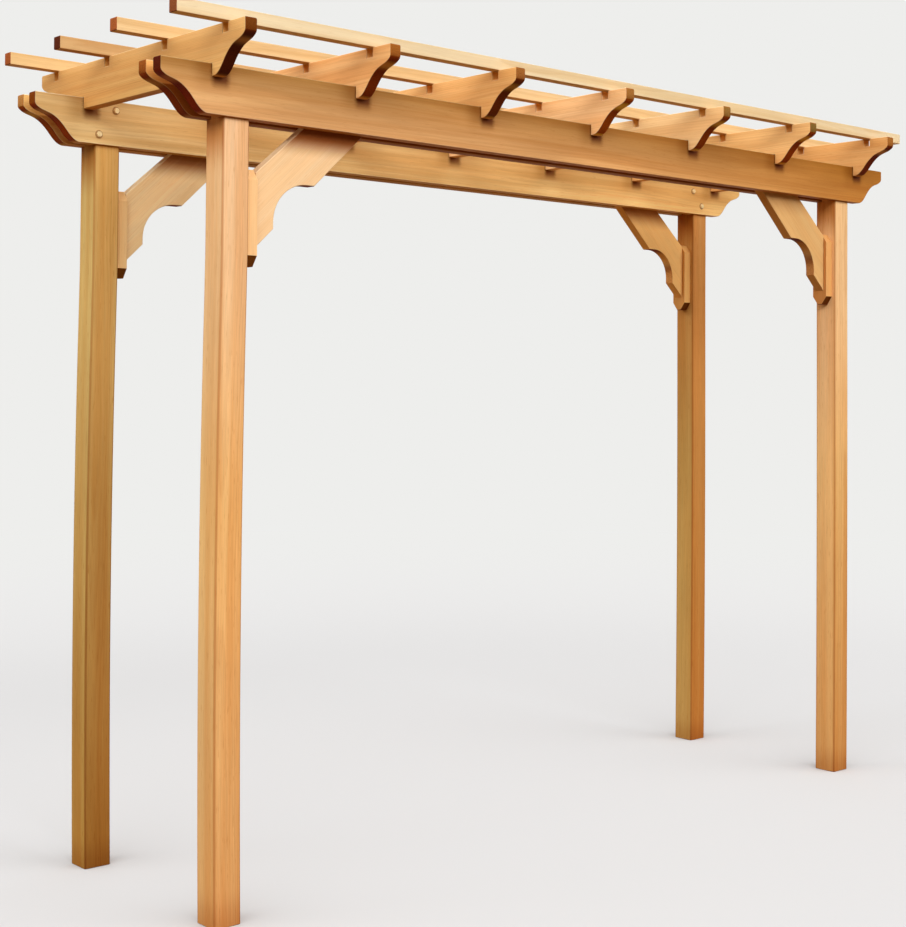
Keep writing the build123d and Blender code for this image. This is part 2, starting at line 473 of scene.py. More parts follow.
# painted shade under the beams on the posts' sides and the braces' broad faces, and the posts' darker
# foot, part dirt and part painted contact shade
post_shades = ((seat - 0.17, seat - 0.03, 0.0, 1.0, (0.66, 0.43, 0.24), 0),
               (0.0, 0.11, 1.0, 0.0, (0.8, 0.68, 0.6), None))
brace_shades = ((seat - 0.086, seat - 0.022, 0.0, 1.0, (0.27, 0.11, 0.04), 1),)

post_cedar = cedar("post cedar", lit((246, 194, 132), (238, 174, 108), (212, 142, 78)),
                   DARK_EDGE, BUTT, streaks=1.6, shades=post_shades)
beam_cedar = cedar("beam cedar", lit((222, 164, 100), (208, 144, 80), (184, 118, 60)),
                   PALE_WEAR_AND_HIGHLIGHT, BUTT, rings=0.28, cloud=0.1, under_rafters=rafter_step)
rafter_cedar = cedar("rafter cedar", lit((244, 188, 122), (234, 168, 100), (212, 142, 78)),
                     PALE_WEAR_AND_HIGHLIGHT, BUTT, cloud=0.07)
brace_cedar = cedar("brace cedar", lit((249, 206, 146), (247, 199, 136), (232, 174, 110)),
                    PALE_WEAR_AND_HIGHLIGHT, BRACE_BUTT, rings=0.28, shades=brace_shades)
slat_cedar = cedar("slat cedar", lit((248, 222, 176), (240, 206, 152), (224, 182, 122)),
                   SLAT_WEAR_AND_HIGHLIGHT, SLAT_BUTT, streaks=0.7)
print("finishes", [m.name for m in bpy.data.materials])

# %% [markdown]
# ## Outlines
#
# A sawn board is an outline carried across its thickness. Two tools draw all the outlines here. One
# rounds the corners of a polygon. The other runs a smooth curve through a few measured points, as a
# thin batten does when it is bent round nails.


# %% Outlines
def rounded(corners, radii, steps=4):
    """Rounds the corners of an outline, all at once.

    Each arc turns about a centre on its corner's bisector. Its points are weighted sums of the two
    radii that bound it, sin((1 - f) t) / sin t and sin(f t) / sin t for a turn of t, f from 0 to 1.
    Returns the points, and how far each is into an arc: 0 at its ends, 1 in its middle.
    """
    p = np.asarray(corners, float)
    r = np.broadcast_to(np.asarray(radii, float), len(p))
    before = p - np.roll(p, 1, axis=0)
    before /= np.linalg.norm(before, axis=1, keepdims=True)
    after = np.roll(before, -1, axis=0)
    t = np.maximum(np.arccos(np.clip((before * after).sum(1), -1, 1)), 1e-4)
    reach = (r * np.tan(t / 2))[:, None]
    inward = after - before
    inward /= np.maximum(np.linalg.norm(inward, axis=1, keepdims=True), 1e-9)
    centre = p + inward * (r / np.cos(t / 2))[:, None]
    f = np.linspace(0.0, 1.0, steps + 1)
    one = np.sin((1 - f) * t[:, None]) / np.sin(t)[:, None]
    two = np.sin(f * t[:, None]) / np.sin(t)[:, None]
    arc = centre[:, None] + one[..., None] * (p - before * reach - centre)[:, None]
    arc = arc + two[..., None] * (p + after * reach - centre)[:, None]
    keep = (r[:, None] > 0) | (np.arange(steps + 1)[None] == 0)
    into = np.sin(np.pi * f)[None] * (r[:, None] > 0)
    return arc[keep], into[keep]


def smooth_curve(points, start, stop, count):
    """A curve through the points, made of cubics with equal slopes where they meet.

    The parameter grows with the distance between points. The slopes solve one small linear system,
    with the given directions at both ends.
    """
    p = np.asarray(points, float)
    gap = np.linalg.norm(np.diff(p, axis=0), axis=1)
    rise = np.diff(p, axis=0) / gap[:, None]
    n = len(p)
    system, wanted = np.eye(n), np.zeros((n, 2))
    wanted[0], wanted[-1] = start / np.linalg.norm(start), stop / np.linalg.norm(stop)
    k = np.arange(1, n - 1)
    system[k, k - 1], system[k, k], system[k, k + 1] = gap[1:], 2 * (gap[:-1] + gap[1:]), gap[:-1]
    wanted[1:-1] = 3 * (gap[1:, None] * rise[:-1] + gap[:-1, None] * rise[1:])
    slope = np.linalg.solve(system, wanted)
    knots = np.concatenate(([0.0], np.cumsum(gap)))
    s = np.linspace(0.0, knots[-1], count)
    i = np.clip(np.searchsorted(knots, s, side="right") - 1, 0, n - 2)
    h, w = gap[i][:, None], ((s - knots[i]) / gap[i])[:, None]
    return ((1 + 2 * w) * (1 - w) ** 2 * p[i] + w * (1 - w) ** 2 * h * slope[i]
            + w ** 2 * (3 - 2 * w) * p[i + 1] + w ** 2 * (w - 1) * h * slope[i + 1])


def section(width, breadth, radius):
    """A rectangle about the origin with rounded corners."""
    a, b = width / 2, breadth / 2
    return rounded(((-a, -b), (a, -b), (a, b), (-a, b)), radius)


print("points of a section", len(section(2.0, 1.0, 0.1)[0]))

# %% [markdown]
# ## A board as a surface
#
# Scaling a cube would give knife edges that no board has; a real one has its long edges eased with
# a small round. So the surface is a grid: one way goes round the outline, the other across. On the
# two faces the outline is drawn in by the radius of the round; on the way across it swings out along
# a quarter circle, stays out, and swings back. The normals come from the same formula, which keeps
# the flat faces flat and the rounds smooth. Two sides of the outline share one normal where they
# meet at a small angle, as on a curve, and keep their own at a real corner.

# %% Board surface
X, Y, Z = np.eye(3)
CURVE_COS = 0.86


def shell(outline, into, depth, middle, across, up, ease, steps=3, rows=0):
    """One closed board. outline is anticlockwise in the plane of across and up.

    Ring k of the grid is the outline drawn in by ease * (1 - sin a), at ease * (1 - cos a) from the
    face, with a from 0 to a quarter turn, and mirrored on the other half. Drawing in moves a point
    along the mitre of its two sides. rows adds plain rings between the halves, for a piece that is
    bent later. Returns the corners, the faces, and for every corner of every face its normal and how
    far it lies on an eased edge.
    """
    u, v = np.asarray(across, float), np.asarray(up, float)
    w = np.cross(u, v)
    side = np.roll(outline, -1, axis=0) - outline
    side /= np.linalg.norm(side, axis=1, keepdims=True)
    leaving = np.stack((side[:, 1], -side[:, 0]), 1)
    coming = np.roll(leaving, 1, axis=0)
    agree = (leaving * coming).sum(1, keepdims=True)
    mitre = (leaving + coming) / (1 + agree)
    mean = leaving + coming
    mean = mean / np.maximum(np.linalg.norm(mean, axis=1, keepdims=True), 1e-9)
    leaving, coming = (np.where(agree > CURVE_COS, mean, n) for n in (leaving, coming))

    a = np.linspace(0.0, np.pi / 2, steps + 1)
    between = np.linspace(ease - depth / 2, depth / 2 - ease, rows + 2)[1:-1]
    out = np.concatenate((np.sin(a), np.ones(rows), np.sin(a[::-1])))
    over = np.concatenate((-np.cos(a), np.zeros(rows), np.cos(a[::-1])))
    low = ease * (1 - np.cos(a)) - depth / 2
    height = np.concatenate((low, between, -low[::-1]))
    ring = outline[None] - (ease * (1 - out))[:, None, None] * mitre[None]
    points = middle + ring[..., :1] * u + ring[..., 1:] * v + height[:, None, None] * w

    count = len(outline)
    quads = sleeve(len(out), count)
    level, around = quads // count, quads % count
    i, j = around[:, 0], around[:, 1]
    flat = np.stack((leaving[i], coming[j], coming[j], leaving[i]), 1)
    flat = flat[..., :1] * u + flat[..., 1:] * v
    normal = out[level][..., None] * flat + over[level][..., None] * w
    worn = np.maximum(into[around], np.sin(np.arccos(np.abs(over[level])) * 2))
    first, last = np.arange(count)[::-1], (len(out) - 1) * count + np.arange(count)
    faces = quads.tolist() + [first.tolist(), last.tolist()]
    normal = np.concatenate((normal.reshape(-1, 3), np.tile(-w, (count, 1)), np.tile(w, (count, 1))))
    worn = np.concatenate((worn.ravel(), np.zeros(2 * count)))
    return points.reshape(-1, 3), faces, normal, worn


plain = shell(*section(2.0, 0.1, 0.005), depth=0.04, middle=np.zeros(3), across=X, up=Z, ease=0.003)
print("a plain board has", len(plain[0]), "corners and", len(plain[1]), "faces")

# %% [markdown]
# ## A board's place in the tree
#
# The pith lies outside most boards, a hand's breadth away, at a distance that a seeded generator
# picks, so that no two boards look alike. The board's place along the trunk is picked as well.

# %% Place in the log
SEED = 11
PITH_TURN, PITH_REACH, PITH_SHARE = (0.15, 1.2), (0.07, 0.17), 0.6
TRUNK = 40.0
chance = np.random.default_rng(SEED)


def in_the_log(co, along, broad):
    """Where each point lay in the tree: x along the pith, y and z across.

    For a picked angle a and reach r, the pith passes the board's middle at a share of r sin a over
    its breadth, and at r cos a over its thickness.
    """
    angle, reach = chance.uniform(*PITH_TURN) * chance.choice((-1, 1)), chance.uniform(*PITH_REACH)
    pith = (chance.uniform(-TRUNK, TRUNK), reach * np.sin(angle) * PITH_SHARE, reach * np.cos(angle))
    axes = np.stack((along, broad, np.cross(along, broad)), 1)
    return (co - (co.min(0) + co.max(0)) / 2) @ axes + pith


print("reach to the pith", PITH_REACH)

# %% [markdown]
# ## A board's tones
#
# Every face has its own tone, part the wood's own and part painted light and shade, and it changes
# along a board. So a piece carries one tone for each corner of each face, which multiplies the
# cedar's own. Most of it goes along the grain. On top come turns: more tones, for the faces that look
# a given way, which hold painted light and shade on the sides that catch more or less light.

# %% Tones of a piece
FACING = (0.85, 0.97)
PLAIN = (1.0, 1.0, 1.0)


def spread(tones, share):
    """Tones at equal steps along the grain, for corners that are a share of the way along it."""
    tones = np.atleast_2d(tones)
    steps = np.linspace(0.0, 1.0, len(tones))
    return np.stack([np.interp(share, steps, channel) for channel in tones.T], 1)


def toned(tint, turns, share, normal, points):
    """The tone of every corner: tint times all turns.

    tint is one tone, or tones at equal steps along the grain. A turn is a way, its tones, and at
    choice a function that picks its points. Its weight rises from 0 to 1 while the cosine between
    the face and the way passes through FACING.
    """
    tone = spread(tint, share)
    for way, tones, *only in turns:
        weight = np.clip((normal @ way - FACING[0]) / (FACING[1] - FACING[0]), 0.0, 1.0)
        for chosen in only:
            weight = weight * chosen(points)
        tone *= 1 + weight[:, None] * (spread(tones, share) - 1)
    return tone


print("a turn starts", round(float(np.degrees(np.arccos(FACING[0])))), "degrees off its way")

# %% [markdown]
# ## From a surface to a piece
#
# Each piece stands for one node of the imported model, rides on its one body, and keeps its origin at
# zero. Its mesh gets its own normals, and what the finish reads: its place in the log, its tones, how
# far each face looks along the grain, how far each corner lies on an eased edge, how bleached the
# piece is and how strong its painted shade under the beams is.

# %% Piece
made_pieces = []


def joined(parts):
    """The corners and the faces of several closed surfaces, as one list of each."""
    start = np.cumsum([0] + [len(part[0]) for part in parts])
    faces = [[index + first for index in face] for part, first in zip(parts, start) for face in part[1]]
    return np.concatenate([part[0] for part in parts]), faces


def mark(mesh, name, values, domain="POINT"):
    """Stores a number or a vector for every point, or for every corner of every face."""
    kind, field = ("FLOAT_VECTOR", "vector") if np.ndim(values) == 2 else ("FLOAT", "value")
    mesh.attributes.new(name, kind, domain).data.foreach_set(field, values.astype(np.float32).ravel())


def piece(name, shells, grain, wide, material, tint, rise=0.0, bleach=0.0, shade_strength=1.0, turns=(),
          cuts=None, bow=None):
    """Joins closed shells into one mesh with its normals and attributes, in place of its node.

    tint and turns give its tones, and rise the share gained from the lower to the upper side. cuts
    says for each point how dark end grain may turn there. bow gives every point a small push, once
    its place in the log is set.
    """
    co, faces = joined(shells)
    normal, worn = (np.concatenate([part[field] for part in shells]) for field in (2, 3))
    mesh = bpy.data.meshes.new(name)
    mesh.from_pydata((co + (0.0 if bow is None else bow(co))).tolist(), [], faces)
    mesh.polygons.foreach_set("use_smooth", np.ones(len(faces), bool))
    mesh.normals_split_custom_set(normal.tolist())

    along, broad = (np.asarray(way, float) / np.linalg.norm(way) for way in (grain, wide))
    lo, hi = co.min(0), co.max(0)
    share, height = (((co - lo) @ way) / ((hi - lo) @ way) for way in (np.abs(along), Z))
    corner = np.array([index for face in faces for index in face])
    mark(mesh, "log", in_the_log(co, along, broad))
    mark(mesh, "lean", 1 + (height[:, None] - 0.5) * np.broadcast_to(rise, 3))
    mark(mesh, "tint", toned(tint, turns, share[corner], normal, co[corner]), "CORNER")
    mark(mesh, "bleach", np.full(len(co), bleach))
    # how strong the painted shade under the beams is
    mark(mesh, "shade_strength", np.full(len(co), shade_strength))
    mark(mesh, "end", np.abs(normal @ along) * (1.0 if cuts is None else cuts(co[corner])), "CORNER")
    mark(mesh, "edge", worn, "CORNER")
    mesh.materials.append(material)
    made = bpy.data.objects.new(name + "_timber", mesh)
    bpy.context.scene.collection.objects.link(made)
    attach(made, "root")
    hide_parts(name)
    made_pieces.append(made)


def box(name):
    """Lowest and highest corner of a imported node."""
    return tuple(np.array(corner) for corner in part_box(name))


print("highest point", round(float(box("slat_1")[1][2]), 3))

# %% [markdown]
# ## Posts
#
# The far pair is a shade darker, every post is darker at its foot than under the roof, and the left
# faces are paler and more yellow than the front ones. These are painted light and shade: shade on the
# far pair and low down, and a paler light on the left faces. The tones run from the foot to the top.
# The left ones, and the rear ones for the right and rear faces, come on top of the post's.

# %% Post tones
# tones from foot to top, darker low down and on the far pair: painted shade
post_tints = {
    "near_left": ((0.69, 0.6, 0.49), (0.76, 0.73, 0.65), (0.81, 0.8, 0.69), (0.89, 0.98, 1.2),
                  (0.99, 1.14, 1.55)),
    "near_right": ((0.55, 0.45, 0.3), (0.67, 0.61, 0.46), (0.75, 0.76, 0.65), (0.84, 0.9, 1.01),
                   (0.97, 1.13, 1.34)),
    "far_left": ((0.31, 0.24, 0.1), (0.39, 0.34, 0.19), (0.47, 0.47, 0.31), (0.75, 0.84, 0.67),
                 (0.93, 1.06, 0.86)),
    "far_right": ((0.51, 0.37, 0.19), (0.54, 0.41, 0.22), (0.58, 0.45, 0.26), (0.68, 0.52, 0.31),
                  (0.8, 0.74, 0.55)),
}
# painted light on the left faces: paler and more yellow
left_tints = {
    "near_left": ((0.94, 1.04, 1.1), (0.98, 1.07, 1.14), (0.88, 0.9, 0.83)),
    "near_right": ((1.08, 1.17, 1.35), (1.14, 1.18, 1.3), (1.05, 1.0, 0.95)),
    "far_left": ((1.28, 1.54, 1.8), (1.17, 1.37, 1.52), (1.12, 1.28, 1.45), (0.89, 0.99, 1.05),
                 (0.62, 0.63, 0.6)),
    "far_right": ((1.02, 1.4, 1.8), (0.98, 1.38, 1.8), (0.96, 1.43, 1.85), (0.95, 1.1, 1.2),
                  (0.78, 0.68, 0.43)),
}
rear_tints = {
    "near_left": (1.05, 1.1, 1.15),
    "near_right": (1.05, 1.1, 1.15),
    "far_left": ((1.7, 2.0, 2.8), (1.35, 1.35, 1.6), (1.1, 1.1, 1.3)),
    "far_right": ((1.2, 1.5, 2.0), (1.3, 1.55, 2.2), (1.15, 1.3, 1.75)),
}
print("posts with tones", len(post_tints))

# %% [markdown]
# Each post is a square section carried up its height, with well-rounded corners, standing straight
# on the ground. Above the underside of the beams it is cut down to a flat tongue, which fills the
# space between the two boards of its beam. The two are separate shells, and the tongue starts a
# little lower so that they overlap. Long timber moves as it dries: below its brace each post bows by
# a few millimetres, which takes extra rings up its height.

# %% Posts
POST_ROUND = 0.007
TONGUE_ROUND, TONGUE_LAP, TONGUE_PLAY = 0.0015, 0.01, (0.0006, 0.0004)
post_bows = {"near_left": -0.009, "near_right": 0.003, "far_left": -0.009, "far_right": 0.004}


def bowed(push, top):
    """A push along x that grows as 4 t (1 - t) from the ground, t = 0, to the height top, t = 1."""
    def bend(points):
        t = np.clip(points[:, 2] / top, 0.0, 1.0)
        return (4 * push * t * (1 - t))[:, None] * X
    return bend


for where, tint in post_tints.items():
    lo, hi = box("post_" + where)
    row = "beam_" + where.split("_")[0]
    between = box(row + "_back")[0][1] - box(row + "_front")[1][1]
    middle, size = ((lo + hi) / 2)[:2], hi - lo
    body = shell(*section(*size[:2], POST_ROUND), seat, (*middle, seat / 2), X, Y, ease=0.002, rows=17)
    rest = hi[2] - seat + TONGUE_LAP
    cut = section(size[0] - TONGUE_PLAY[0], between - TONGUE_PLAY[1], TONGUE_ROUND)
    tongue = shell(*cut, rest, (*middle, hi[2] - rest / 2), X, Y, ease=0.001)
    turns = ((-X, left_tints[where]), (X, rear_tints[where]), (Y, rear_tints[where]))
    piece("post_" + where, [body, tongue], Z, X, post_cedar, tint, bleach=1.0, turns=turns,
          bow=bowed(post_bows[where], box("cleat_" + where)[0][2]))
print("posts", size.round(4), "seat", round(float(seat), 4))

# %% [markdown]
# ## Shaped ends
#
# Beams and rafters end in the same ogee, drawn once on a pattern and sawn along the line: a short
# upright nose, a hollow under it, then a swell down to the underside. Nine points hold its line and
# a smooth curve runs through them. The noses look straight out and the swells out and down, and each
# has its own tone.

# %% Ogee
OGEE = np.array(((0.0, 106.0), (6.0, 97.0), (24.0, 87.0), (53.0, 77.5), (78.0, 62.5), (98.0, 43.0),
                 (117.5, 20.0), (135.0, 5.5), (150.0, 0.0))) / 1000
SWELL_OUT, SWELL_DOWN = 0.66, 0.75
ogee = smooth_curve(OGEE, start=np.array((0.0, -1.0)), stop=np.array((1.0, -0.2)), count=30)


def long_board(reach, depth, nose, under=(), over=()):
    """Outline from -reach to reach with an ogee at both ends, its upper corners rounded by nose.

    under and over are cuts in the lower and the upper edge, as points in order.
    """
    left = ogee + (-reach, 0.0)
    right = (ogee * (-1, 1))[::-1] + (reach, 0.0)
    cuts = [np.asarray(part, float).reshape(-1, 2) for part in (under, over)]
    corners = np.concatenate((left, cuts[0], right, ((reach, depth),), cuts[1], ((-reach, depth),)))
    radii = np.zeros(len(corners))
    radii[[len(left) + len(cuts[0]) + len(right), -1]] = nose
    return rounded(corners, radii)


def end_turns(axis, nose, swell, *only):
    """Turns for the noses and the swells at both ends of a board that lies along an axis."""
    return [turn for side in (-axis, axis)
            for turn in ((side, nose, *only), (side * SWELL_OUT - Z * SWELL_DOWN, swell))]


print("ogee", len(ogee), "points, reach", ogee.max(0).round(4))

# %% [markdown]
# ## Beams
#
# Each beam is two boards on edge with the posts' tongues between them. The table gives the tones
# from left to right, how they change from the lower to the upper side, which is painted light and
# shade, and how bleached the ends are. Then come the tones of the face that looks to the front, which
# on a back board is painted light between the boards, of its lower part, which on a back board holds
# a painted shade from the board before it, of the noses and of the swells. The undersides carry a
# painted shade.

# %% Beams
BEAM_NOSE = 0.0045
# painted shade on the undersides of the beams
BEAM_UNDER = (0.88, 0.84, 0.76)
GAP_TOP = 0.08
beam_finish = {
    "near_front": (((0.89, 1.02, 1.23), (0.64, 0.51, 0.22)), (-0.55, -0.68, -1.1), 0.0,
                   PLAIN, PLAIN, PLAIN, (1.3, 1.0, 1.0)),
    "near_back": (((0.84, 0.86, 0.9), (0.74, 0.7, 0.54)), (0.4, 0.5, 0.6), 0.9,
                  (1.5, 1.5, 1.3), (0.42, 0.26, 0.16), (0.88, 0.78, 0.6), (1.8, 2.6, 1.5)),
    "far_front": (((1.15, 1.65, 2.24), (1.3, 1.68, 1.86)), (-0.3, -0.4, -0.5), 0.0,
                  PLAIN, PLAIN, (1.6, 2.6, 1.2), (1.6, 1.5, 1.0)),
    "far_back": (((1.15, 1.45, 1.7), (1.15, 1.45, 1.6)), (0.2, 0.25, 0.3), 1.4,
                 (1.12, 1.12, 1.0), (0.66, 0.54, 0.5), (1.0, 1.2, 1.8), (1.8, 2.6, 1.6)),
}
for where, (tint, rise, bleach, front, gap, nose, swell) in beam_finish.items():
    lo, hi = box("beam_" + where)
    outline, into = long_board(hi[0], hi[2] - lo[2], BEAM_NOSE)
    middle = (0.0, (lo[1] + hi[1]) / 2, lo[2])
    board = shell(outline, into, hi[1] - lo[1], middle, X, Z, ease=0.003)
    # a back board's front face gets painted light, its lower part painted shade, and every underside
    # painted shade
    turns = [(-Z, BEAM_UNDER), (-Y, front), (-Y, gap, lambda p: p[:, 2] < lo[2] + GAP_TOP)]
    turns += end_turns(X, nose, swell)
    piece("beam_" + where, [board], X, Z, beam_cedar, tint, rise, bleach, turns=turns)
print("beams", (hi - lo).round(4))

# %% [markdown]
# ## Rafters
#
# A rafter is the same board turned across the beams. Two notches drop it over them, sawn a hair
# wider than the beams, and four slots are cut in its top edge where the slats cross. The cuts keep
# the sharp inner corners of a saw, and being sheltered they have not turned dark as the noses have.
# The table gives the tones from front to back, of the noses and of the swells. The first rafter,
# whose left face stands open to the light, also changes from its lower to its upper side, and its
# ends are little bleached.

# %% Rafters
RAFTER_NOSE, NOSE_DEPTH = 0.006, 0.03
SLOT_W, SLOT_D = 0.026, 0.028
CLEAR = 0.001
# painted light: lifts the walls of the slots, which lie in shade
SLOT_WALL = (1.2, 1.25, 1.1)
rafter_rise, rafter_bleach = {1: (0.2, 0.3, 0.5)}, {1: 0.2}
rafter_finish = {
    1: (((0.89, 1.02, 1.02), (0.73, 0.73, 0.62)), (0.98, 1.25, 1.05), (0.55, 0.65, 0.8)),
    2: (((0.93, 0.98, 1.05), (0.99, 1.01, 1.14)), (1.0, 1.05, 1.0), (1.45, 2.0, 1.4)),
    3: (((0.85, 0.86, 0.79), (1.03, 1.09, 1.17)), (1.05, 1.27, 1.9), (1.05, 1.7, 0.8)),
    4: (((1.0, 1.13, 1.41), (1.03, 1.29, 1.76)), (0.96, 1.22, 1.37), (2.2, 3.6, 1.2)),
    5: (((0.99, 1.2, 1.48), (1.03, 1.36, 1.84)), (0.78, 1.1, 1.33), (1.75, 2.4, 0.8)),
    6: (((0.93, 1.02, 1.07), (0.93, 1.0, 0.95)), (0.62, 1.09, 1.55), (2.1, 2.9, 0.9)),
    7: (((0.8, 0.8, 0.76), (0.95, 1.01, 0.97)), (1.25, 1.6, 2.0), (1.3, 1.6, 0.8)),
}
cut_from = [box(f"beam_{row}_front")[0][1] - CLEAR for row in ("near", "far")]
cut_to = [box(f"beam_{row}_back")[1][1] + CLEAR for row in ("near", "far")]
beam_top = box("beam_near_front")[1][2]
slat_lines = sorted((float(sum(box(f"slat_{k}"))[1]) / 2 for k in (1, 2, 3, 4)), reverse=True)


def slot(y, top):
    """The four corners of a slot in the top edge, from its far side to its near side."""
    a, b, bed = y + SLOT_W / 2, y - SLOT_W / 2, top - SLOT_D
    return (a, top), (a, bed), (b, bed), (b, top)


for number, (tint, nose, swell) in rafter_finish.items():
    lo, hi = box(f"rafter_{number}")
    depth, lap = hi[2] - lo[2], beam_top - lo[2]
    under = [((a, 0.0), (a, lap), (b, lap), (b, 0.0)) for a, b in zip(cut_from, cut_to)]
    over = [slot(y, depth) for y in slat_lines]
    outline, into = long_board(hi[1], depth, RAFTER_NOSE, under, over)
    middle = ((lo[0] + hi[0]) / 2, 0.0, lo[2])
    board = shell(outline, into, hi[0] - lo[0], middle, Y, Z, ease=0.0025)
    slots, noses = lo[2] + depth - SLOT_D - CLEAR, hi[1] - NOSE_DEPTH
    turns = end_turns(Y, nose, swell, lambda p: np.abs(p[:, 1]) > noses)
    for side in (-Y, Y):
        turns += [(side, SLOT_WALL, lambda p: (p[:, 2] > slots) & (np.abs(p[:, 1]) < noses))]
    piece(f"rafter_{number}", [board], Y, Z, rafter_cedar, tint,
          rafter_rise.get(number, 0.0), rafter_bleach.get(number, 1.0), turns=turns,
          cuts=lambda p: (p[:, 2] < slots) | (np.abs(p[:, 1]) > noses))
print("rafters", (hi - lo).round(4), "lap", round(float(lap), 4))

# %% [markdown]
# ## Slats
#
# Four square battens lie along the top. They are planed paler stock than the rest, with small
# rounds on every edge. Each has one tone, and its ends are more or less bleached.

# %% Slats
slat_finish = {1: ((0.84, 0.88, 0.93), 0.5), 2: ((0.86, 0.79, 0.69), 0.9),
               3: ((0.68, 0.54, 0.4), 0.05), 4: ((0.85, 0.75, 0.59), 0.85)}
for number, (tint, bleach) in slat_finish.items():
    lo, hi = box(f"slat_{number}")
    a, depth = hi[0], hi[2] - lo[2]
    outline, into = rounded(((-a, 0.0), (a, 0.0), (a, depth), (-a, depth)), radii=0.0025)
    middle = (0.0, (lo[1] + hi[1]) / 2, lo[2])
    batten = shell(outline, into, hi[1] - lo[1], middle, X, Z, ease=0.002)
    piece(f"slat_{number}", [batten], X, Z, slat_cedar, tint, bleach=bleach)
print("slats", (hi - lo).round(4))

# %% [markdown]
# ## Knee braces and cleats
#
# A brace is a short straight-sided board set on the slant, its underside sawn into a quarter-round
# scallop between two small square steps. Its grain follows the slant. It stands on the edge of a
# cleat, an upright block screwed to the post, and its upper end goes up between the beam boards.
# The outline is drawn for the left side and mirrored for the right one, where its points are taken
# in the opposite order so that the surface still faces outwards.
#
# A cleat is a block with both ends bevelled at the front and the back, so its outline is drawn as
# seen from the side and carried across its thickness.

# %% Brace and cleat shapes
HEEL, SHOULDER, TAIL = -0.358, -0.143, 0.09
TOP_IN, TOP_OUT = 0.248, 0.465
SCALLOP, SCALLOP_R = np.array((0.261, -0.279)), 0.115
BEVEL = np.array((0.022, 0.031))


def brace_outline(foot):
    """Brace seen from the front, x from the post's middle and z from the beam's underside."""
    slope, rise = -HEEL / (TOP_OUT - foot), -SHOULDER / (TOP_IN - foot)
    low, high = SCALLOP - (SCALLOP_R, 0.0), SCALLOP + (0.0, SCALLOP_R)
    turn = np.linspace(np.pi, np.pi / 2, num=18)
    arc = SCALLOP + SCALLOP_R * np.stack((np.cos(turn), np.sin(turn)), 1)
    foot_end = ((foot, SHOULDER), (foot, HEEL), (low[0], HEEL + slope * (low[0] - foot)))
    head_end = ((foot + (high[1] - HEEL) / slope, high[1]), (foot + (TAIL - HEEL) / slope, TAIL),
                (foot + (TAIL - SHOULDER) / rise, TAIL))
    return np.concatenate((foot_end, arc, head_end)), slope


def cleat_block(lo, hi):
    """A block between two corners, its outline as seen from the side, y across and z up."""
    half = (hi - lo)[1:] / 2
    corner = np.array(((half[0] - BEVEL[0], half[1]), (half[0], half[1] - BEVEL[1])))
    outline = np.concatenate((corner * (1, -1), corner[::-1], corner * (-1, 1), corner[::-1] * -1))
    return shell(*rounded(outline, 0.0), hi[0] - lo[0], (lo + hi) / 2, Y, Z, ease=0.002)


print("scallop radius", SCALLOP_R, "bevel", BEVEL)

# %% [markdown]
# The table gives each brace's tone, the strength of the painted shade under the beams, and its
# cleat's tone. A cleat's left and right sides are darker than its front, a painted shade. The bevel
# at its foot looks down and to the front and is painted lighter, for the light it catches from the
# ground. Its upper end is end grain too, but has darkened less.

# %% Braces and cleats
knee_finish = {
    "near_left": ((0.91, 0.97, 1.16), 1.0, (0.92, 0.89, 0.91)),
    "near_right": ((0.73, 0.68, 0.58), 0.3, (0.74, 0.58, 0.42)),
    "far_left": ((1.03, 1.22, 1.45), 0.9, (1.0, 1.08, 1.12)),
    "far_right": ((1.06, 1.04, 0.84), 0.8, (0.88, 0.78, 0.56)),
}
# painted shade on a cleat's left and right sides, painted light on the bevel at its foot
CLEAT_SIDE = (0.76, 0.64, 0.54)
CLEAT_FOOT = ((0.0, -0.815, -0.579), (0.85, 1.8, 1.3))
CLEAT_HEAD = 0.35
for where, (brace_tint, shade_strength, cleat_tint) in knee_finish.items():
    post, cleat, knee = (box(kind + where) for kind in ("post_", "cleat_", "brace_"))
    middle = (post[0][0] + post[1][0]) / 2
    hand = 1 if middle < 0 else -1
    outline, slope = brace_outline((post[1][0] - post[0][0]) / 2 + cleat[1][0] - cleat[0][0])
    if hand < 0:
        outline = (outline * (-1, 1))[::-1]
    at = (middle, (knee[0][1] + knee[1][1]) / 2, seat)
    board = shell(*rounded(outline, 0.0), knee[1][1] - knee[0][1], at, X, Z, ease=0.0025)
    piece("brace_" + where, [board], (hand, 0.0, slope), (-hand * slope, 0.0, 1.0), brace_cedar,
          brace_tint, bleach=1.0, shade_strength=shade_strength)
    half_way = (cleat[0][2] + cleat[1][2]) / 2
    piece("cleat_" + where, [cleat_block(*cleat)], Z, X, brace_cedar, cleat_tint,
          bleach=1.0, turns=((X, CLEAT_SIDE), (-X, CLEAT_SIDE), CLEAT_FOOT),
          cuts=lambda p: np.where(p[:, 2] > half_way, CLEAT_HEAD, 1.0))
print("brace", (knee[1] - knee[0]).round(4), "cleat", (cleat[1] - cleat[0]).round(4))

# %% [markdown]
# ## Bolt metal
#
# The metal is steel with a yellowish zinc plate. Two noises give it wide clouds and fine specks. The
# washers are darker, a painted shade round the heads, which an attribute marks.

# %% Bolt metal
zinc = bpy.data.materials.new("zinc plate")
tree = fresh(zinc)
here = node(tree, "ShaderNodeTexCoord", out="Object")
cloud = node(tree, "ShaderNodeTexNoise", {"Vector": here, "Scale": 260.0, "Detail": 4.0})
speck = node(tree, "ShaderNodeTexNoise", {"Vector": here, "Scale": 1900.0, "Detail": 2.0})
plate = blend(tree, step(tree, cloud, 0.35, 0.65), linear(255, 238, 190), linear(244, 220, 160))
plate = blend(tree, step(tree, speck, 0.6, 0.72, 0.0, 0.5), plate, linear(206, 172, 112))
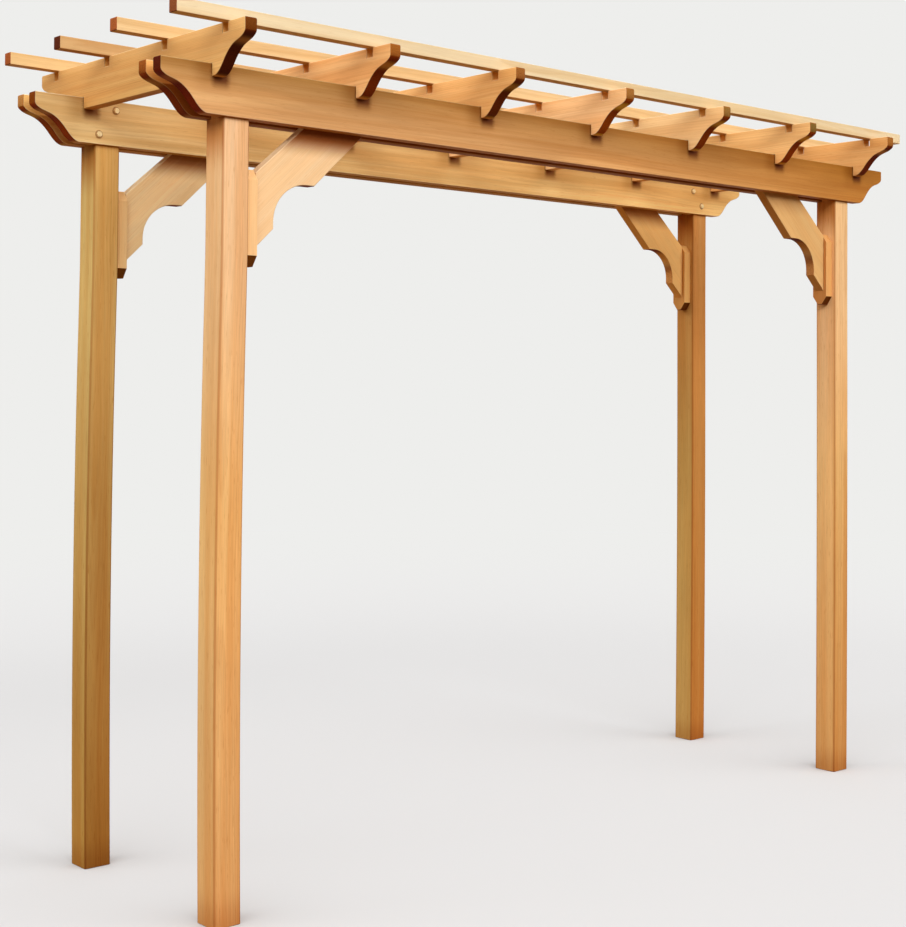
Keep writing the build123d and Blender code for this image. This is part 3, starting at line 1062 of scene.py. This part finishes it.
# painted shade: the washers are darker
plate = blend(tree, stored(tree, "washer_shade"), plate, linear(184, 140, 84))
bump = node(tree, "ShaderNodeBump", {"Strength": 0.2, "Distance": 0.0002, "Height": speck})
shine = step(tree, cloud, 0.3, 0.7, 0.28, 0.5)
metal = node(tree, "ShaderNodeBsdfPrincipled", {
    "Base Color": plate, "Metallic": 0.2, "Normal": bump, "Roughness": shine})
node(tree, "ShaderNodeOutputMaterial", {0: metal})
print("bolt finish", zinc.name)

# %% [markdown]
# ## Bolts
#
# Two bolts hold each post between its beam boards. Only their heads and washers show, on the faces
# that look inwards. A head is a hexagon whose corners are cut back by a cone, so its radius is the
# smaller of two: that of the hexagon, which changes with the angle, and that of the cone, which
# changes with the height. Both parts are profiles of radius and height turned about the bolt.

# %% Bolt surface
WASHER_R, WASHER_T = 0.013, 0.002
WASHER = ((WASHER_R - 0.0008, 0.0), (WASHER_R, 0.0006), (WASHER_R, WASHER_T - 0.0006),
          (WASHER_R - 0.0008, WASHER_T), (0.004, WASHER_T))
HEAD_FLATS = 0.0081
SPOKES = 48


def head_profile(tall):
    """Wall, cone and flat top of a head that ends at the height tall."""
    return ((0.0094, WASHER_T), (0.0094, tall - 0.002), (0.008, tall - 0.0006), (0.0068, tall),
            (0.002, tall))


def turned(profile, flats, centre, towards):
    """A profile turned about an axis, its radius held inside a hexagon.

    For an angle a, a hexagon of half-width flats reaches flats / cos(a), with a counted from the
    nearest flat. Where flats is None the section is round.
    """
    r, h = np.asarray(profile, float).T
    a = np.linspace(0.0, 2 * np.pi, SPOKES, endpoint=False)
    reach = np.tile(r[:, None], (1, SPOKES))
    if flats:
        reach = np.minimum(reach, flats / np.cos((a % (np.pi / 3)) - np.pi / 6)[None])
    w = np.asarray(towards, float)
    u = np.cross(Z, w)
    round_about = np.cos(a)[:, None] * u + np.sin(a)[:, None] * Z
    points = centre + reach[..., None] * round_about + h[:, None, None] * w
    last = (len(r) - 1) * SPOKES
    caps = [list(range(SPOKES))[::-1], list(range(last, last + SPOKES))]
    return points.reshape(-1, 3), sleeve(len(r), SPOKES).tolist() + caps


print("head across flats", 2 * HEAD_FLATS)

# %% [markdown]
# The two bolts of a pair stand on a slant, in opposite corners of their node's box, which the
# washers touch. The upper one is nearer the middle of the pergola. Every other part is a washer.

# %% Bolts
for where in post_tints:
    lo, hi = box("bolts_" + where)
    inward = Y if lo[1] < 0 else -Y
    wall = lo[1] if lo[1] < 0 else hi[1]
    ends = ((hi[0], hi[2]), (lo[0], lo[2])) if lo[0] < 0 else ((lo[0], hi[2]), (hi[0], lo[2]))
    parts = []
    for x, z in ends:
        spot = np.array((np.clip(x, lo[0] + WASHER_R, hi[0] - WASHER_R), wall,
                         np.clip(z, lo[2] + WASHER_R, hi[2] - WASHER_R)))
        parts += [turned(WASHER, None, spot, inward),
                  turned(head_profile(hi[1] - lo[1]), HEAD_FLATS, spot, inward)]
    points, faces = joined(parts)
    mesh = bpy.data.meshes.new("bolts_" + where)
    mesh.from_pydata(points.tolist(), [], faces)
    # the washers, every other part, carry the painted shade
    washer_shade = [np.full(len(part[0]), 1.0 - k % 2) for k, part in enumerate(parts)]
    mark(mesh, "washer_shade", np.concatenate(washer_shade))
    mesh.materials.append(zinc)
    made = bpy.data.objects.new("bolts_" + where + "_plated", mesh)
    bpy.context.scene.collection.objects.link(made)
    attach(made, "root")
    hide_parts("bolts_" + where)
    made_pieces.append(made)
print("bolts", (hi - lo).round(4))

# %% [markdown]
# ## Colours as written
#
# The plain view transform shows a colour as it was mixed, without a film look. The imported model's
# parts stay in the scene, hidden. The timber must not outgrow it.

# %% Finish
bpy.context.scene.view_settings.view_transform = "Standard"
bpy.context.view_layer.update()
triangles = sum(len(p.vertices) - 2 for o in made_pieces for p in o.data.polygons)
print("pieces", len(made_pieces), "triangles", triangles)
